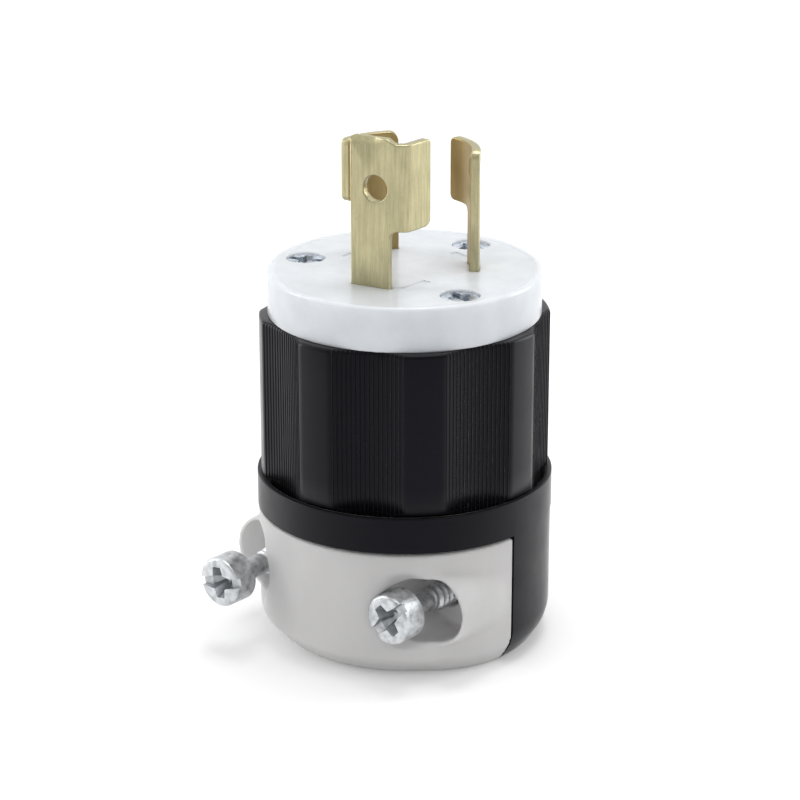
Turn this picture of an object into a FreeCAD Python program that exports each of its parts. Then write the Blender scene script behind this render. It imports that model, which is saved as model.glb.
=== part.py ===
import FreeCAD, Part
import Sketcher
import math
import os

# Locking power plug, 15 A, three blades, with a screwed cord clamp.
# The base plane is z = 0 and the blades point up. The clamp jaw is on the -Y side.

doc = FreeCAD.newDocument("locking_plug")
sheet = doc.addObject("Spreadsheet::Sheet", "Sizes")
NODES = []


class Size:
    """A number together with the formula that reads it from the sheet."""

    def __init__(self, value, text):
        self.value = value
        self.text = text

    def __add__(self, other):
        other = as_size(other)
        return Size(self.value + other.value, f"({self.text} + {other.text})")

    def __sub__(self, other):
        other = as_size(other)
        return Size(self.value - other.value, f"({self.text} - {other.text})")

    def __mul__(self, other):
        other = as_size(other)
        return Size(self.value * other.value, f"({self.text} * {other.text})")

    def __truediv__(self, other):
        other = as_size(other)
        return Size(self.value / other.value, f"({self.text} / {other.text})")

    def __neg__(self):
        return Size(-self.value, f"(0 - {self.text})")


def as_size(number):
    if isinstance(number, Size):
        return number
    return Size(float(number), f"{float(number):.6f}" if number >= 0 else f"(0 - {-float(number):.6f})")


def square_root(number):
    return Size(math.sqrt(number.value), f"sqrt({number.text})")


def sine(angle):
    return Size(math.sin(math.radians(angle.value)), f"sin({angle.text} * 1deg)")


def cosine(angle):
    return Size(math.cos(math.radians(angle.value)), f"cos({angle.text} * 1deg)")


def size(alias, value, note):
    """Write one named value into the sheet."""
    row = size.row
    size.row += 1
    sheet.set(f"A{row}", note)
    sheet.set(f"B{row}", str(value))
    sheet.setAlias(f"B{row}", alias)
    return Size(float(value), f"Sizes.{alias}")


size.row = 1

# Levels above the base
rim_bottom = size("rim_height", 17.0, "Height of the underside of the cup rim")
lip_height = size("lip_height", 4.45, "Height of the cup rim and its lip")
shell_height = size("shell_height", 20.11, "Height of the grip shell above the cup lip")
face_height = size("face_height", 5.42, "Height of the face plate above the shell")
hook_clearance = size("hook_clearance", 6.82, "Gap between the face and the blade hooks")
hook_height = size("hook_height", 7.83, "Height of the line and neutral hooks")
ground_height = size("ground_height", 17.92, "Height of the ground blade above the face")
ground_step = size("ground_step_height", 0.6, "Step between the ground leg and its hook")

# Grip shell
shell_radius = size("shell_radius", 17.67, "Radius over the smooth facets")
shell_wall = size("shell_wall_thickness", 2.77, "Wall at the smooth facets")
shell_fit = size("shell_clearance", 0.2, "Radial clearance in the bore of the shell")
facet_count = size("facet_count", 8, "Number of ribbed facets")
smooth_angle = size("smooth_angle", 15.0, "Angle that one smooth facet takes")
facet_angle = size("facet_angle", 25.4, "Direction of the first ribbed facet")
hollow_ratio = size("hollow_ratio", 1.06, "Radius of the hollow facets as a part of the shell radius")
rib_count = size("rib_count", 17, "Ribs on one facet")
rib_height = size("rib_height", 0.26, "Height of a rib")
foot_gap = size("foot_clearance", 0.25, "Gap between the shell and the cup lip")

# Face plate
face_step = size("face_step_width", 1.07, "Step from the shell to the face plate")

# Rear cover
rim_step = size("rim_step_width", 0.49, "Step from the shell to the cup rim")
lip_wall = size("lip_thickness", 0.7, "Thickness of the cup lip")
cup_floor = size("cup_floor_thickness", 1.4, "Thickness of the cup floor")
clamp_step = size("clamp_step_width", 0.12, "Step from the cup rim to the clamp part")
taper_start = size("taper_height", 3.3, "Height where the base taper starts")
cover_taper = size("cover_taper_depth", 2.14, "Inward run of the taper on the cover")
jaw_taper = size("jaw_taper_depth", 3.44, "Inward run of the taper on the jaw")
split_plane = size("split_distance", 1.0, "Distance of the parting plane ahead of the axis")
jaw_gap = size("jaw_clearance", 0.1, "Gap between the jaw and the fixed half")
jaw_drop = size("jaw_drop_height", 0.3, "Gap between the jaw and the cup rim")
cord_radius = size("cord_radius", 5.2, "Radius of the cord passage")
ridge_height = size("ridge_height", 0.8, "Height of the gripping ridges")
ridge_width = size("ridge_width", 1.4, "Width of a gripping ridge")
chamber_height = size("chamber_height", 4.6, "Height of the cord chamber below the cup rim")
chamber_wall = size("chamber_wall_thickness", 9.64, "Wall round the cord chamber")
boss_radius = size("boss_radius", 2.4, "Radius of a boss for an assembly screw")
boss_gap = size("boss_clearance", 0.2, "Gap between the bosses and the terminal block")

# Clamp jaw and clamp screws
screw_inset = size("screw_inset_distance", 6.54, "Distance from the clamp side to a clamp screw")
screw_drop = size("screw_drop_height", 7.5, "Distance of the clamp screws below the cup rim")
lug_reach = size("lug_length", 2.3, "Length by which a screw lug reaches outward")
lug_setback = size("lug_setback_depth", 7.14, "Depth of a lug front behind the clamp front")
lug_radius = size("lug_radius", 4.5, "Outer radius of a screw lug")
lug_wall = size("lug_thickness", 0.45, "Wall round the recess of a screw lug")
recess_depth = size("lug_recess_depth", 5.4, "Depth of the recess in a screw lug")
jaw_hole = size("jaw_hole_radius", 1.95, "Radius of the screw holes in the jaw")
clamp_head_radius = size("clamp_head_radius", 3.1, "Head radius of a clamp screw")
clamp_head_height = size("clamp_head_height", 3.5, "Head height of a clamp screw")
clamp_neck_length = size("clamp_neck_length", 5.0, "Length of the plain neck")
clamp_thread_radius = size("clamp_thread_radius", 1.65, "Radius over the clamp screw thread")
thread_depth = size("thread_depth", 0.3, "Depth of the clamp screw thread")
clamp_shank = size("clamp_shank_length", 18.5, "Length of a clamp screw below its head")
clamp_hole_fit = size("clamp_hole_clearance", 0.05, "Radial clearance of the screw threads")
clamp_hole_depth = size("clamp_hole_depth", 12.2, "Depth of the clamp screw holes in the cover")
left_reach = size("left_screw_length", 10.7, "Length of the left screw ahead of its lug")
right_reach = size("right_screw_length", 6.1, "Length of the right screw ahead of its lug")

# Blades
blade_outer = size("blade_radius", 9.04, "Outer radius of the blade circle")
blade_thickness = size("blade_thickness", 1.14, "Thickness of the blades")
blade_tail_length = size("blade_tail_length", 4.0, "Length of the blades below their screws")
slot_fit = size("slot_clearance", 0.06, "Clearance round a blade in its slot")
blade_hole = size("blade_hole_radius", 1.6, "Radius of the hole in a blade")
blade_hole_rise = size("blade_hole_height", 5.04, "Height of the holes above the hook underside")
hook_corner = size("hook_corner_radius", 1.2, "Rounding of the hook corners")
hook_root = size("hook_root_radius", 0.9, "Rounding between hook and leg")
blade_edge = size("blade_bevel_width", 0.2, "Bevel along the blade tips")
ground_bevel = size("ground_bevel_width", 0.7, "Bevel on the tip of the ground leg")
line_start = size("line_start_angle", 28.5, "Line blade, start of the leg")
line_end = size("line_end_angle", 57.4, "Line blade, end of the leg")
line_hook = size("line_hook_angle", 86.0, "Line blade, end of the hook")
neutral_start = size("neutral_start_angle", 135.2, "Neutral blade, start of the leg")
neutral_end = size("neutral_end_angle", 165.0, "Neutral blade, end of the leg")
neutral_hook = size("neutral_hook_angle", 188.4, "Neutral blade, end of the hook")
ground_start = size("ground_start_angle", 265.1, "Ground blade, start of the leg")
ground_end = size("ground_end_angle", 298.0, "Ground blade, end of the leg")
ground_hook = size("ground_hook_angle", 312.0, "Ground blade, bend line of the hook")
tab_length = size("tab_length", 4.1, "Length of the turned-in end of the ground hook")
tab_angle = size("tab_angle", 48.0, "Angle by which the end of the ground hook is turned in")
tab_corner = size("tab_corner_radius", 1.0, "Rounding of the corner of the turned-in end")

# Terminal block, terminal screws and wire clamps
terminal_drop = size("terminal_depth", 9.06, "Depth of the terminal screws below the face plate")
block_skirt = size("block_skirt_height", 6.0, "Height of the terminal block below the screws")
window_side = size("window_clearance", 0.7, "Gap beside a wire clamp in its window")
window_room = size("window_height", 1.6, "Height of the window above its wire clamp")
plate_gap = size("wire_gap", 0.66, "Gap between a blade and its wire clamp")
plate_thickness = size("plate_thickness", 1.3, "Thickness of a wire clamp")
plate_side = size("plate_width", 6.6, "Side length of a wire clamp")
terminal_head_radius = size("terminal_head_radius", 2.9, "Head radius of a terminal screw")
terminal_head_height = size("terminal_head_height", 1.9, "Head height of a terminal screw")
terminal_thread = size("terminal_thread_radius", 1.5, "Radius over a terminal screw thread")
terminal_fit = size("terminal_clearance", 0.1, "Clearance round a terminal screw in its clamp")

# Assembly screws
assembly_inset = size("assembly_inset_distance", 2.15, "Distance from the shell bore to an assembly screw")
assembly_first = size("assembly_first_angle", 90.0, "Direction of the first assembly screw")
assembly_second = size("assembly_second_angle", 201.0, "Direction of the second assembly screw")
assembly_third = size("assembly_third_angle", 340.5, "Direction of the third assembly screw")
assembly_head = size("assembly_head_radius", 2.35, "Head radius of an assembly screw")
assembly_head_height = size("assembly_head_height", 1.9, "Head height of an assembly screw")
assembly_sink = size("assembly_sink_depth", 0.34, "Depth of the heads below the face")
assembly_thread = size("assembly_thread_radius", 1.45, "Radius over an assembly screw thread")
assembly_fit = size("assembly_clearance", 0.12, "Clearance round head and shank")
assembly_end = size("assembly_end_height", 1.0, "Height of the screw ends above the cup floor")
recess_depth_ratio = size("cross_depth_ratio", 0.55, "Recess depth as a part of the head radius")
recess_arm_ratio = size("cross_arm_ratio", 0.6, "Recess arm length as a part of the head radius")
recess_width_ratio = size("cross_width_ratio", 0.16, "Half recess width as a part of the head radius")

# Values that follow from the ones above
rim_top = rim_bottom + lip_height
shell_top = rim_top + shell_height
face_top = shell_top + face_height
floor_top = rim_bottom + cup_floor
hook_bottom = face_top + hook_clearance
blade_top = hook_bottom + hook_height
ground_top = face_top + ground_height
shell_bore = shell_radius - shell_wall
block_radius = shell_bore - shell_fit
face_radius = shell_radius - face_step
hollow_radius = shell_radius * hollow_ratio
half_facet = (as_size(360) / facet_count - smooth_angle) / 2
facet_half_width = shell_radius * sine(half_facet)
hollow_rise = square_root(hollow_radius * hollow_radius - facet_half_width * facet_half_width)
hollow_middle = shell_radius * cosine(half_facet) + hollow_rise
rim_radius = shell_radius + rim_step
lip_inner = rim_radius - lip_wall
reach = rim_radius * 2
clamp_radius = rim_radius - clamp_step
jaw_top = rim_bottom - jaw_drop
chamber_bottom = rim_bottom - chamber_height
chamber_radius = clamp_radius - chamber_wall
screw_offset = clamp_radius - screw_inset
screw_height = rim_bottom - screw_drop
lug_front = clamp_radius - lug_setback
recess_radius = lug_radius - lug_wall
blade_inner = blade_outer - blade_thickness
terminal_height = shell_top - terminal_drop
block_bottom = terminal_height - block_skirt
blade_tail = terminal_height - blade_tail_length
window_top = terminal_height + plate_side / 2 + window_room
plate_start = blade_outer + plate_gap
terminal_hole = terminal_thread + terminal_fit
terminal_shank = plate_thickness + plate_gap + blade_thickness
assembly_radius = shell_bore - assembly_inset
assembly_angles = (assembly_first, assembly_second, assembly_third)
line_middle = (line_start + line_end) / 2
neutral_middle = (neutral_start + neutral_end) / 2
ground_middle = (ground_start + ground_end) / 2
zero = Size(0.0, "0")
doc.recompute()


def new_body(label):
    body = doc.addObject("PartDesign::Body", label)
    body.Label = label
    NODES.append(body)
    return body


def new_sketch(body, plane, offset=zero):
    """A sketch on one of the body's own planes, moved along the plane's normal."""
    sketch = body.newObject("Sketcher::SketchObject", "Outline")
    support = [f for f in body.Origin.OriginFeatures if f.Role == plane][0]
    sketch.AttachmentSupport = [(support, "")]
    sketch.MapMode = "FlatFace"
    sketch.setExpression("AttachmentOffset.Base.z", offset.text)
    return sketch


def bind(sketch, kind, first, first_point, second, second_point, amount):
    index = sketch.addConstraint(
        Sketcher.Constraint(kind, first, first_point, second, second_point, amount.value)
    )
    sketch.setExpression(f"Constraints[{index}]", amount.text)


def polygon(sketch, points):
    """A closed outline with every corner held by its two distances from the origin."""
    points = [(as_size(x), as_size(y)) for x, y in points]
    base = sketch.GeometryCount
    count = len(points)
    for index, (x, y) in enumerate(points):
        end_x, end_y = points[(index + 1) % count]
        start = FreeCAD.Vector(x.value, y.value, 0)
        end = FreeCAD.Vector(end_x.value, end_y.value, 0)
        sketch.addGeometry(Part.LineSegment(start, end), False)
    for index, (x, y) in enumerate(points):
        following = base + (index + 1) % count
        sketch.addConstraint(Sketcher.Constraint("Coincident", base + index, 2, following, 1))
        bind(sketch, "DistanceX", -1, 1, base + index, 1, x)
        bind(sketch, "DistanceY", -1, 1, base + index, 1, y)


def circle(sketch, x, y, radius):
    middle = FreeCAD.Vector(x.value, y.value, 0)
    curve = Part.Circle(middle, FreeCAD.Vector(0, 0, 1), radius.value)
    index = sketch.addGeometry(curve, False)
    bind(sketch, "DistanceX", -1, 1, index, 3, x)
    bind(sketch, "DistanceY", -1, 1, index, 3, y)
    number = sketch.addConstraint(Sketcher.Constraint("Radius", index, radius.value))
    sketch.setExpression(f"Constraints[{number}]", radius.text)


def arc(sketch, radius, start, end):
    """An arc round the origin between two directions."""
    curve = Part.Circle(FreeCAD.Vector(0, 0, 0), FreeCAD.Vector(0, 0, 1), radius.value)
    bounds = (math.radians(start.value), math.radians(end.value))
    index = sketch.addGeometry(Part.ArcOfCircle(curve, bounds[0], bounds[1]), False)
    sketch.addConstraint(Sketcher.Constraint("Coincident", index, 3, -1, 1))
    number = sketch.addConstraint(Sketcher.Constraint("Radius", index, radius.value))
    sketch.setExpression(f"Constraints[{number}]", radius.text)
    for point, angle in ((1, start), (2, end)):
        if abs(sine(angle).value) > 0.7:
            bind(sketch, "DistanceX", -1, 1, index, point, radius * cosine(angle))
        else:
            bind(sketch, "DistanceY", -1, 1, index, point, radius * sine(angle))
    return index


def arc_band(sketch, inner, outer, start, end):
    """A piece of a ring, closed at both ends by straight lines."""
    outside = arc(sketch, outer, start, end)
    inside = arc(sketch, inner, start, end)
    for point, angle in ((1, start), (2, end)):
        direction = FreeCAD.Vector(cosine(angle).value, sine(angle).value, 0)
        segment = Part.LineSegment(direction * inner.value, direction * outer.value)
        line = sketch.addGeometry(segment, False)
        sketch.addConstraint(Sketcher.Constraint("Coincident", line, 1, inside, point))
        sketch.addConstraint(Sketcher.Constraint("Coincident", line, 2, outside, point))


def slot_outline(sketch, first_x, second_x, y, radius):
    """Two half circles joined by straight lines, lying along x."""
    low_x, high_x = sorted((first_x, second_x), key=lambda x: x.value)
    half_turn = math.pi / 2
    normal = FreeCAD.Vector(0, 0, 1)
    right = Part.Circle(FreeCAD.Vector(high_x.value, y.value, 0), normal, radius.value)
    left = Part.Circle(FreeCAD.Vector(low_x.value, y.value, 0), normal, radius.value)
    right_arc = sketch.addGeometry(Part.ArcOfCircle(right, -half_turn, half_turn), False)
    left_arc = sketch.addGeometry(Part.ArcOfCircle(left, half_turn, 3 * half_turn), False)
    for index, x in ((right_arc, high_x), (left_arc, low_x)):
        bind(sketch, "DistanceX", -1, 1, index, 3, x)
        bind(sketch, "DistanceY", -1, 1, index, 3, y)
        bind(sketch, "DistanceX", -1, 1, index, 1, x)
        bind(sketch, "DistanceX", -1, 1, index, 2, x)
    bind(sketch, "DistanceY", -1, 1, right_arc, 2, y + radius)
    bind(sketch, "DistanceY", -1, 1, left_arc, 1, y + radius)
    for side, first, second in ((1, (left_arc, 1), (right_arc, 2)), (-1, (left_arc, 2), (right_arc, 1))):
        height = y.value + side * radius.value
        start = FreeCAD.Vector(low_x.value, height, 0)
        end = FreeCAD.Vector(high_x.value, height, 0)
        line = sketch.addGeometry(Part.LineSegment(start, end), False)
        sketch.addConstraint(Sketcher.Constraint("Coincident", line, 1, first[0], first[1]))
        sketch.addConstraint(Sketcher.Constraint("Coincident", line, 2, second[0], second[1]))


def turned_box(near, far, width, angle):
    """Four corners of a rectangle that points away from the axis."""
    corners = []
    for distance, side in ((near, 1), (far, 1), (far, -1), (near, -1)):
        across = width * (0.5 * side)
        x = distance * cosine(angle) - across * sine(angle)
        y = distance * sine(angle) + across * cosine(angle)
        corners.append((x, y))
    return corners


def pad(body, sketch, length, backward=False):
    feature = body.newObject("PartDesign::Pad", "Pad")
    feature.Profile = sketch
    feature.Reversed = backward
    feature.setExpression("Length", length.text)
    return feature


def pocket(body, sketch, length, backward=False):
    feature = body.newObject("PartDesign::Pocket", "Pocket")
    feature.Profile = sketch
    feature.Reversed = backward
    feature.setExpression("Length", length.text)
    return feature


def turned(body, points):
    """A full turn of an outline in the XZ plane round the Z axis."""
    sketch = new_sketch(body, "XZ_Plane")
    polygon(sketch, points)
    feature = body.newObject("PartDesign::Revolution", "Turned")
    feature.Profile = sketch
    feature.ReferenceAxis = (sketch, ["V_Axis"])
    feature.Angle = 360
    return feature


def turned_cut(body, points):
    sketch = new_sketch(body, "XZ_Plane")
    polygon(sketch, points)
    feature = body.newObject("PartDesign::Groove", "TurnedCut")
    feature.Profile = sketch
    feature.ReferenceAxis = (sketch, ["V_Axis"])
    feature.Angle = 360
    return feature


def radial_hole(body, angle, height, near, far, radius):
    """A round hole that runs away from the axis."""
    cutter = body.newObject("PartDesign::SubtractiveCylinder", "RadialHole")
    cutter.setExpression("Radius", radius.text)
    cutter.setExpression("Height", (far - near).text)
    cutter.setExpression("Placement", outward(angle, height, near))
    return cutter


def outward(angle, height, distance):
    """Placement whose z axis points away from the plug's axis."""
    x = distance * cosine(angle)
    y = distance * sine(angle)
    place = f"vector({x.text}; {y.text}; {height.text})"
    return f"placement({place}; rotationz({angle.text} * 1deg) * rotationy(90deg))"


def round_edges(body, kind, amount, chosen):
    """Fillet or chamfer the edges of the body's last feature that are chosen by a test."""
    doc.recompute()
    last = body.Tip
    names = []
    for index, edge in enumerate(last.Shape.Edges):
        if chosen(edge):
            names.append(f"Edge{index + 1}")
    if not names:
        raise RuntimeError(f"no edge chosen on {body.Label}")
    feature = body.newObject(f"PartDesign::{kind}", kind)
    feature.Base = (last, names)
    prop = "Radius" if kind == "Fillet" else "Size"
    feature.setExpression(prop, amount.text)
    doc.recompute()


def near(value, target, slack=0.02):
    return abs(value - target) < slack


def at_level(edge, level):
    box = edge.BoundBox
    return near(box.ZMin, level) and near(box.ZMax, level)


def polar(angle, distance):
    return distance * cosine(angle), distance * sine(angle)


def cord_passage(top):
    """Inner side of the cord passage from a given level down to the base."""
    ridge_top = chamber_bottom / 2 + ridge_width / 2
    return [
        (chamber_radius, top),
        (chamber_radius, chamber_bottom),
        (cord_radius, chamber_bottom),
        (cord_radius, ridge_top),
        (cord_radius - ridge_height, ridge_top),
        (cord_radius - ridge_height, ridge_top - ridge_width),
        (cord_radius, ridge_top - ridge_width),
        (cord_radius, zero),
    ]


def make_face_plate():
    body = new_body("face_plate")
    turned(body, [
        (zero, shell_top),
        (face_radius, shell_top),
        (face_radius, face_top),
        (zero, face_top),
    ])
    slots = new_sketch(body, "XY_Plane", face_top)
    blade_slots(slots)
    pocket(body, slots, face_top - shell_top)
    recesses = new_sketch(body, "XY_Plane", face_top)
    for angle in assembly_angles:
        x, y = polar(angle, assembly_radius)
        circle(recesses, x, y, assembly_head + assembly_fit)
    pocket(body, recesses, assembly_sink + assembly_head_height)
    holes = new_sketch(body, "XY_Plane", face_top)
    for angle in assembly_angles:
        x, y = polar(angle, assembly_radius)
        circle(holes, x, y, assembly_thread + assembly_fit)
    pocket(body, holes, face_top - shell_top)


def blade_slots(sketch):
    margin = slot_fit / blade_outer * 57.3
    for start, end in ((line_start, line_end), (neutral_start, neutral_end), (ground_start, ground_end)):
        arc_band(sketch, blade_inner - slot_fit, blade_outer + slot_fit, start - margin, end + margin)


def make_terminal_block():
    body = new_body("terminal_block")
    turned(body, [
        (zero, block_bottom),
        (block_radius, block_bottom),
        (block_radius, shell_top),
        (zero, shell_top),
    ])
    slots = new_sketch(body, "XY_Plane", shell_top)
    blade_slots(slots)
    pocket(body, slots, shell_top - block_bottom)
    windows = new_sketch(body, "XY_Plane", window_top)
    for angle in (line_middle, neutral_middle, ground_middle):
        width = plate_side + window_side * 2
        start = blade_outer - blade_thickness / 2
        polygon(windows, turned_box(start, shell_radius, width, angle))
    pocket(body, windows, window_top - block_bottom)
    holes = new_sketch(body, "XY_Plane", shell_top)
    for angle in assembly_angles:
        x, y = polar(angle, assembly_radius)
        circle(holes, x, y, assembly_thread + assembly_fit)
    pocket(body, holes, shell_top - block_bottom)


def make_grip_shell():
    body = new_body("grip_shell")
    outline = new_sketch(body, "XY_Plane", floor_top)
    circle(outline, zero, zero, shell_radius)
    pad(body, outline, shell_top - floor_top)
    hollow = new_sketch(body, "XY_Plane", shell_top)
    circle(hollow, hollow_middle, zero, hollow_radius)
    repeat(body, pocket(body, hollow, shell_top - floor_top))
    ribs = new_sketch(body, "XY_Plane", floor_top)
    polygon(ribs, rib_outline())
    repeat(body, pad(body, ribs, shell_top - floor_top))
    turned_cut(body, [
        (lip_inner - foot_gap, floor_top),
        (reach, floor_top),
        (reach, rim_top + foot_gap),
        (lip_inner - foot_gap, rim_top + foot_gap),
    ])
    bore = new_sketch(body, "XY_Plane", shell_top)
    circle(bore, zero, zero, shell_bore)
    pocket(body, bore, shell_top - floor_top)
    body.setExpression("Placement", f"placement(vector(0; 0; 0); rotationz({facet_angle.text} * 1deg))")


def repeat(body, feature):
    """The same feature on all ribbed facets."""
    pattern = body.newObject("PartDesign::PolarPattern", "Facets")
    pattern.Originals = [feature]
    pattern.Axis = (feature.Profile[0], ["N_Axis"])
    pattern.Angle = 360
    pattern.setExpression("Occurrences", facet_count.text)
    body.Tip = pattern


def rib_outline():
    """Section of the ribs of one facet, on the hollow that faces +X."""
    ratio = facet_half_width / hollow_radius
    half_span = Size(math.degrees(math.asin(ratio.value)), f"(asin({ratio.text}) / 1deg)")
    pitch = half_span * 2 / rib_count
    points = []
    for number in range(int(rib_count.value) + 1):
        root = pitch * number - half_span
        points.append((hollow_middle - hollow_radius * cosine(root), hollow_radius * sine(root)))
        if number < rib_count.value:
            crest = root + pitch / 2
            distance = hollow_radius - rib_height
            points.append((hollow_middle - distance * cosine(crest), distance * sine(crest)))
    buried = hollow_radius + rib_height
    points.append((hollow_middle - buried * cosine(half_span), buried * sine(half_span)))
    points.append((hollow_middle - buried, zero))
    points.append((hollow_middle - buried * cosine(half_span), -(buried * sine(half_span))))
    return points


def make_rear_cover():
    body = new_body("rear_cover")
    turned(body, [
        (clamp_radius - cover_taper, zero),
        (clamp_radius, taper_start),
        (clamp_radius, rim_bottom),
        (rim_radius, rim_bottom),
        (rim_radius, rim_top),
        (lip_inner, rim_top),
        (lip_inner, floor_top),
    ] + cord_passage(floor_top))
    front = new_sketch(body, "XY_Plane", rim_bottom)
    polygon(front, [(-reach, -reach), (reach, -reach), (reach, -split_plane), (-reach, -split_plane)])
    pocket(body, front, rim_bottom)
    bosses = new_sketch(body, "XY_Plane", rim_bottom)
    for angle in assembly_angles:
        x, y = polar(angle, assembly_radius)
        circle(bosses, x, y, boss_radius)
    pad(body, bosses, block_bottom - boss_gap - rim_bottom)
    trim = new_sketch(body, "XY_Plane", block_bottom)
    circle(trim, zero, zero, lip_inner)
    circle(trim, zero, zero, block_radius)
    pocket(body, trim, block_bottom - floor_top)
    holes = new_sketch(body, "XY_Plane", block_bottom)
    for angle in assembly_angles:
        x, y = polar(angle, assembly_radius)
        circle(holes, x, y, assembly_thread + clamp_hole_fit)
    pocket(body, holes, block_bottom - floor_top)
    clamp_holes = new_sketch(body, "XZ_Plane", split_plane)
    for side in (-1, 1):
        circle(clamp_holes, screw_offset * side, screw_height, clamp_thread_radius + clamp_hole_fit)
    pocket(body, clamp_holes, clamp_hole_depth)


def make_clamp_jaw():
    body = new_body("clamp_jaw")
    turned(body, [
        (clamp_radius - jaw_taper, zero),
        (clamp_radius, taper_start),
        (clamp_radius, jaw_top),
    ] + cord_passage(jaw_top))
    lugs = new_sketch(body, "XZ_Plane", lug_front)
    for side in (-1, 1):
        outer = (screw_offset + lug_reach) * side
        slot_outline(lugs, screw_offset * side, outer, screw_height, lug_radius)
    pad(body, lugs, lug_front, backward=True)
    back = new_sketch(body, "XY_Plane", jaw_top)
    rear = -(split_plane + jaw_gap)
    polygon(back, [(-reach, rear), (reach, rear), (reach, reach), (-reach, reach)])
    pocket(body, back, jaw_top)
    recesses = new_sketch(body, "XZ_Plane", clamp_radius)
    for side in (-1, 1):
        outer = (screw_offset + lug_reach) * side
        slot_outline(recesses, screw_offset * side, outer, screw_height, recess_radius)
    pocket(body, recesses, lug_setback + recess_depth)
    holes = new_sketch(body, "XZ_Plane", reach)
    for side in (-1, 1):
        circle(holes, screw_offset * side, screw_height, jaw_hole)
    pocket(body, holes, reach)


def cross_recess(body, radius):
    """Cross recess in a screw head whose front is at z = 0."""
    arm = radius * recess_arm_ratio
    half = radius * recess_width_ratio
    sketch = new_sketch(body, "XY_Plane")
    polygon(sketch, [
        (arm, -half), (arm, half), (half, half), (half, arm), (-half, arm), (-half, half),
        (-arm, half), (-arm, -half), (-half, -half), (-half, -arm), (half, -arm), (half, -half),
    ])
    pocket(body, sketch, radius * recess_depth_ratio)


def make_clamp_screw(label, side, front):
    body = new_body(label)
    tip = clamp_head_height + clamp_shank
    neck = clamp_thread_radius - thread_depth
    turned(body, [
        (zero, -tip),
        (clamp_thread_radius, -tip),
        (clamp_thread_radius, -(clamp_head_height + clamp_neck_length)),
        (neck, -(clamp_head_height + clamp_neck_length)),
        (neck, -clamp_head_height),
        (clamp_head_radius, -clamp_head_height),
        (clamp_head_radius, zero),
        (zero, zero),
    ])
    cross_recess(body, clamp_head_radius)
    x = screw_offset * side
    place = f"vector({x.text}; {(-front).text}; {screw_height.text})"
    body.setExpression("Placement", f"placement({place}; rotationx(90deg))")


def make_assembly_screw(label, angle):
    body = new_body(label)
    front = face_top - assembly_sink
    length = front - floor_top - assembly_end
    turned(body, [
        (zero, -length),
        (assembly_thread, -length),
        (assembly_thread, -assembly_head_height),
        (assembly_head, -assembly_head_height),
        (assembly_head, zero),
        (zero, zero),
    ])
    cross_recess(body, assembly_head)
    x, y = polar(angle, assembly_radius)
    place = f"vector({x.text}; {y.text}; {front.text})"
    body.setExpression("Placement", f"placement({place}; rotationz({angle.text} * 1deg))")


def make_blade(label, start, end, hook_end, top, tab=False):
    body = new_body(label)
    leg = new_sketch(body, "XY_Plane", blade_tail)
    arc_band(leg, blade_inner, blade_outer, start, end)
    pad(body, leg, top - blade_tail)
    hook = new_sketch(body, "XY_Plane", hook_bottom)
    arc_band(hook, blade_inner, blade_outer, (start + end) / 2, hook_end)
    hook_top = top - ground_step if tab else top
    pad(body, hook, hook_top - hook_bottom)
    if tab:
        turned_in = new_sketch(body, "XY_Plane", hook_bottom)
        polygon(turned_in, tab_outline(hook_end))
        pad(body, turned_in, hook_top - hook_bottom)
    middle = (start + end) / 2
    inside = blade_inner - blade_thickness
    outside = blade_outer + blade_thickness
    radial_hole(body, middle, hook_bottom + blade_hole_rise, inside, outside, blade_hole)
    radial_hole(body, middle, terminal_height, inside, outside, terminal_hole)
    finish_blade(body, start, end, hook_end, top, tab)
    return body


def tab_outline(bend):
    """Section of the flat end that is turned in from the bend line."""
    heading = bend + tab_angle + 90
    along_x, along_y = polar(heading, tab_length)
    across_x, across_y = polar(heading + 90, blade_thickness)
    x, y = polar(bend, blade_outer)
    return [
        (x, y),
        (x + along_x, y + along_y),
        (x + along_x + across_x, y + along_y + across_y),
        (x + across_x, y + across_y),
    ]


def finish_blade(body, start, end, hook_end, top, tab):
    """Round the corners that lie across the blade and bevel the tip."""
    thickness = blade_thickness.value

    def across(edge, level):
        straight = near(edge.Length, thickness, 0.08)
        return straight and at_level(edge, level)

    def direction(edge):
        middle = edge.CenterOfMass
        return math.degrees(math.atan2(middle.y, middle.x)) % 360

    round_edges(body, "Fillet", hook_root,
                lambda e: across(e, hook_bottom.value) and near(direction(e), end.value, 1))
    if tab:
        tab_x, tab_y = tab_outline(hook_end)[1]
        round_edges(body, "Fillet", tab_corner,
                    lambda e: across(e, hook_bottom.value)
                    and math.dist(e.CenterOfMass[:2], (tab_x.value, tab_y.value)) < thickness)
    else:
        round_edges(body, "Fillet", hook_corner,
                    lambda e: (across(e, hook_bottom.value) or across(e, top.value))
                    and near(direction(e), hook_end.value, 1))
        round_edges(body, "Fillet", hook_corner,
                    lambda e: across(e, top.value) and near(direction(e), start.value, 1))
    bevel = ground_bevel if tab else blade_edge
    turned_cut(body, [
        (blade_outer - bevel, top),
        (blade_outer + bevel, top),
        (blade_outer + bevel, top - bevel * 2.6),
    ])


def make_wire_clamp(label, angle):
    body = new_body(label)
    plate = new_sketch(body, "XY_Plane", terminal_height - plate_side / 2)
    polygon(plate, turned_box(plate_start, plate_start + plate_thickness, plate_side, angle))
    pad(body, plate, plate_side)
    inside = plate_start - plate_thickness
    outside = plate_start + plate_thickness * 2
    radial_hole(body, angle, terminal_height, inside, outside, terminal_hole)
    return body


def make_terminal_screw(label, angle):
    body = new_body(label)
    tip = terminal_head_height + terminal_shank
    turned(body, [
        (zero, -tip),
        (terminal_thread, -tip),
        (terminal_thread, -terminal_head_height),
        (terminal_head_radius, -terminal_head_height),
        (terminal_head_radius, zero),
        (zero, zero),
    ])
    distance = plate_start + plate_thickness + terminal_head_height
    body.setExpression("Placement", outward(angle, terminal_height, distance))


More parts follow.
